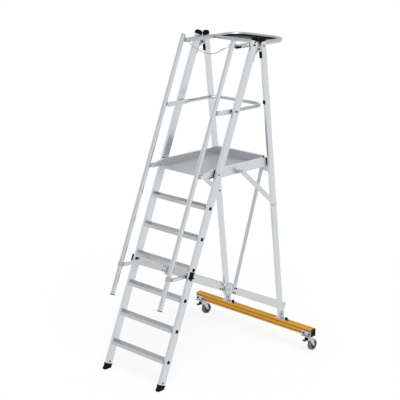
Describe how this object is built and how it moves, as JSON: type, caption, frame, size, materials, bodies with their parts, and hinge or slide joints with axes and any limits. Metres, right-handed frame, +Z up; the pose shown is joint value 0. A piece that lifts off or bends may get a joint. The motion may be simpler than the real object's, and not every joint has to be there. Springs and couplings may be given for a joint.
{
  "type": "folding platform ladder",
  "caption": "Folding aluminium platform ladder with handrails, knee rail, top hoop with tool tray, folding side struts and a gold roll beam on braked castors.",
  "frame": {"origin": "middle of the footprint on the floor, below the middle of the ladder", "axes": "+Z up, +X across the ladder to the climber's right, +Y the way the climber faces"},
  "size_m": [1.408, 1.6296, 2.7721],
  "materials": {
    "satin_aluminium": "satin mill finish",
    "strut_aluminium": "satin mill finish",
    "cast_aluminium": "fine cast",
    "tread_aluminium": "ribbed mill finish",
    "black_plastic": "fine grain",
    "grey_plastic": "fine grain",
    "zinc_steel": "bright zinc",
    "dark_steel": "black zinc",
    "gold_anodised": "gold anodised",
    "grey_tyre": "smooth grey rubber",
    "dark_hub": "moulded",
    "white_cord": "braided",
    "blue_hook": "pale blue coat"
  },
  "bodies": {
    "front_frame": {"left_stile": "satin_aluminium", "right_stile": "satin_aluminium", "tread_1": "tread_aluminium", "tread_2": "tread_aluminium", "tread_3": "tread_aluminium", "tread_4": "tread_aluminium", "tread_5": "tread_aluminium", "tread_6": "tread_aluminium", "tread_plugs": "black_plastic", "feet": "black_plastic", "stile_caps": "black_plastic", "hinge_fronts": "cast_aluminium", "stile_clamps": "black_plastic", "front_spacers": "black_plastic", "pivot_bolts": "zinc_steel"},
    "rear_frame": {"left_leg": "satin_aluminium", "right_leg": "satin_aluminium", "leg_caps": "black_plastic", "hinge_rears": "cast_aluminium", "leg_pads": "black_plastic", "lower_crossbar": "satin_aluminium", "diagonal_stay": "satin_aluminium", "roll_beam": "gold_anodised", "beam_caps": "black_plastic", "beam_brackets": "zinc_steel", "bracket_bolts": "dark_steel", "castor_saddles": "zinc_steel"},
    "platform": {"deck": "tread_aluminium", "left_board": "satin_aluminium", "right_board": "satin_aluminium", "back_board": "satin_aluminium", "brace_posts": "zinc_steel"},
    "handrails": {"left_handrail": "satin_aluminium", "right_handrail": "satin_aluminium", "handrail_eyes": "grey_plastic", "handrail_caps": "grey_plastic", "safety_cord": "white_cord", "snap_hook": "blue_hook"},
    "top_hoop": {"top_hoop": "satin_aluminium", "hoop_inserts": "black_plastic", "tray_floor": "black_plastic", "tray_rim": "black_plastic"},
    "knee_rail": {"knee_rail": "satin_aluminium", "knee_sleeves": "satin_aluminium"},
    "left_arm": {"left_arm": "satin_aluminium"},
    "left_brace": {"left_brace": "strut_aluminium"},
    "left_strut_front": {"left_strut_front": "strut_aluminium"},
    "left_strut_rear": {"left_strut_rear": "strut_aluminium"},
    "left_castor": {"left_fork": "zinc_steel"},
    "left_wheel_set": {"left_tyre": "grey_tyre", "left_wheel": "dark_hub"},
    "left_brake": {"left_pedal": "black_plastic"},
    "right_arm": {"right_arm": "satin_aluminium"},
    "right_brace": {"right_brace": "strut_aluminium"},
    "right_strut_front": {"right_strut_front": "strut_aluminium"},
    "right_strut_rear": {"right_strut_rear": "strut_aluminium"},
    "right_castor": {"right_fork": "zinc_steel"},
    "right_wheel_set": {"right_tyre": "grey_tyre", "right_wheel": "dark_hub"},
    "right_brake": {"right_pedal": "black_plastic"}
  },
  "joints": [
    {"name": "fold", "type": "hinge", "parent": "front_frame", "child": "rear_frame", "pos_m": [0, 0.36372, 2.66425], "axis": [-1, 0, 0], "range_deg": [0, 22.83]},
    {"name": "platform_tip", "type": "hinge", "parent": "front_frame", "child": "platform", "pos_m": [0, -0.10271, 1.686], "axis": [1, 0, 0], "range_deg": [0, 56.03]},
    {"name": "handrail_link", "type": "hinge", "parent": "platform", "child": "handrails", "pos_m": [0, -0.2707, 1.686], "axis": [-1, 0, 0], "range_deg": [0, 56.03]},
    {"name": "hoop_tip", "type": "hinge", "parent": "front_frame", "child": "top_hoop", "pos_m": [0, 0.30779, 2.702], "axis": [1, 0, 0], "range_deg": [0, 56.03]},
    {"name": "knee_rail_tip", "type": "hinge", "parent": "front_frame", "child": "knee_rail", "pos_m": [0, 0.09688, 2.18], "axis": [1, 0, 0], "range_deg": [0, 56.03]},
    {"name": "left_arm_tip", "type": "hinge", "parent": "front_frame", "child": "left_arm", "pos_m": [-0.291, -0.42431, 0.89], "axis": [1, 0, 0], "range_deg": [0, 56.03]},
    {"name": "left_brace_turn", "type": "hinge", "parent": "platform", "child": "left_brace", "pos_m": [-0.347, 0.15529, 1.677], "axis": [-1, 0, 0], "range_deg": [0, 106.13]},
    {"name": "left_strut_turn", "type": "hinge", "parent": "front_frame", "child": "left_strut_front", "pos_m": [-0.347, -0.41478, 0.87888], "axis": [1, 0, 0], "range_deg": [0, 68.78]},
    {"name": "left_strut_knee", "type": "hinge", "parent": "left_strut_front", "child": "left_strut_rear", "pos_m": [-0.362, -0.01161, 0.69053], "axis": [-1, 0, 0], "range_deg": [0, 142.62]},
    {"name": "left_swivel", "type": "hinge", "parent": "rear_frame", "child": "left_castor", "pos_m": [-0.65, 0.72284, 0.153], "axis": [0, 0, 1], "continuous": true},
    {"name": "left_roll", "type": "hinge", "parent": "left_castor", "child": "left_wheel_set", "pos_m": [-0.65, 0.76484, 0.05], "axis": [1, 0, 0], "continuous": true},
    {"name": "left_pedal_press", "type": "hinge", "parent": "left_castor", "child": "left_brake", "pos_m": [-0.65, 0.69084, 0.1195], "axis": [1, 0, 0], "range_deg": [0, 18]},
    {"name": "right_arm_tip", "type": "hinge", "parent": "front_frame", "child": "right_arm", "pos_m": [0.291, -0.42431, 0.89], "axis": [1, 0, 0], "range_deg": [0, 56.03]},
    {"name": "right_brace_turn", "type": "hinge", "parent": "platform", "child": "right_brace", "pos_m": [0.347, 0.15529, 1.677], "axis": [-1, 0, 0], "range_deg": [0, 106.13]},
    {"name": "right_strut_turn", "type": "hinge", "parent": "front_frame", "child": "right_strut_front", "pos_m": [0.347, -0.41478, 0.87888], "axis": [1, 0, 0], "range_deg": [0, 68.78]},
    {"name": "right_strut_knee", "type": "hinge", "parent": "right_strut_front", "child": "right_strut_rear", "pos_m": [0.362, -0.01161, 0.69053], "axis": [-1, 0, 0], "range_deg": [0, 142.62]},
    {"name": "right_swivel", "type": "hinge", "parent": "rear_frame", "child": "right_castor", "pos_m": [0.65, 0.72284, 0.153], "axis": [0, 0, 1], "continuous": true},
    {"name": "right_roll", "type": "hinge", "parent": "right_castor", "child": "right_wheel_set", "pos_m": [0.65, 0.76484, 0.05], "axis": [1, 0, 0], "continuous": true},
    {"name": "right_pedal_press", "type": "hinge", "parent": "right_castor", "child": "right_brake", "pos_m": [0.65, 0.69084, 0.1195], "axis": [1, 0, 0], "range_deg": [0, 18]}
  ],
  "couplings": [
    {"joint": "platform_tip", "follows": "fold", "ratio": 2.4534},
    {"joint": "handrail_link", "follows": "fold", "ratio": 2.4534},
    {"joint": "hoop_tip", "follows": "fold", "ratio": 2.4534},
    {"joint": "knee_rail_tip", "follows": "fold", "ratio": 2.4534},
    {"joint": "left_arm_tip", "follows": "fold", "ratio": 2.4534},
    {"joint": "left_brace_turn", "follows": "fold", "ratio": 4.6477},
    {"joint": "left_strut_turn", "follows": "fold", "ratio": 3.0118},
    {"joint": "left_strut_knee", "follows": "fold", "ratio": 6.246},
    {"joint": "right_arm_tip", "follows": "fold", "ratio": 2.4534},
    {"joint": "right_brace_turn", "follows": "fold", "ratio": 4.6477},
    {"joint": "right_strut_turn", "follows": "fold", "ratio": 3.0118},
    {"joint": "right_strut_knee", "follows": "fold", "ratio": 6.246}
  ]
}
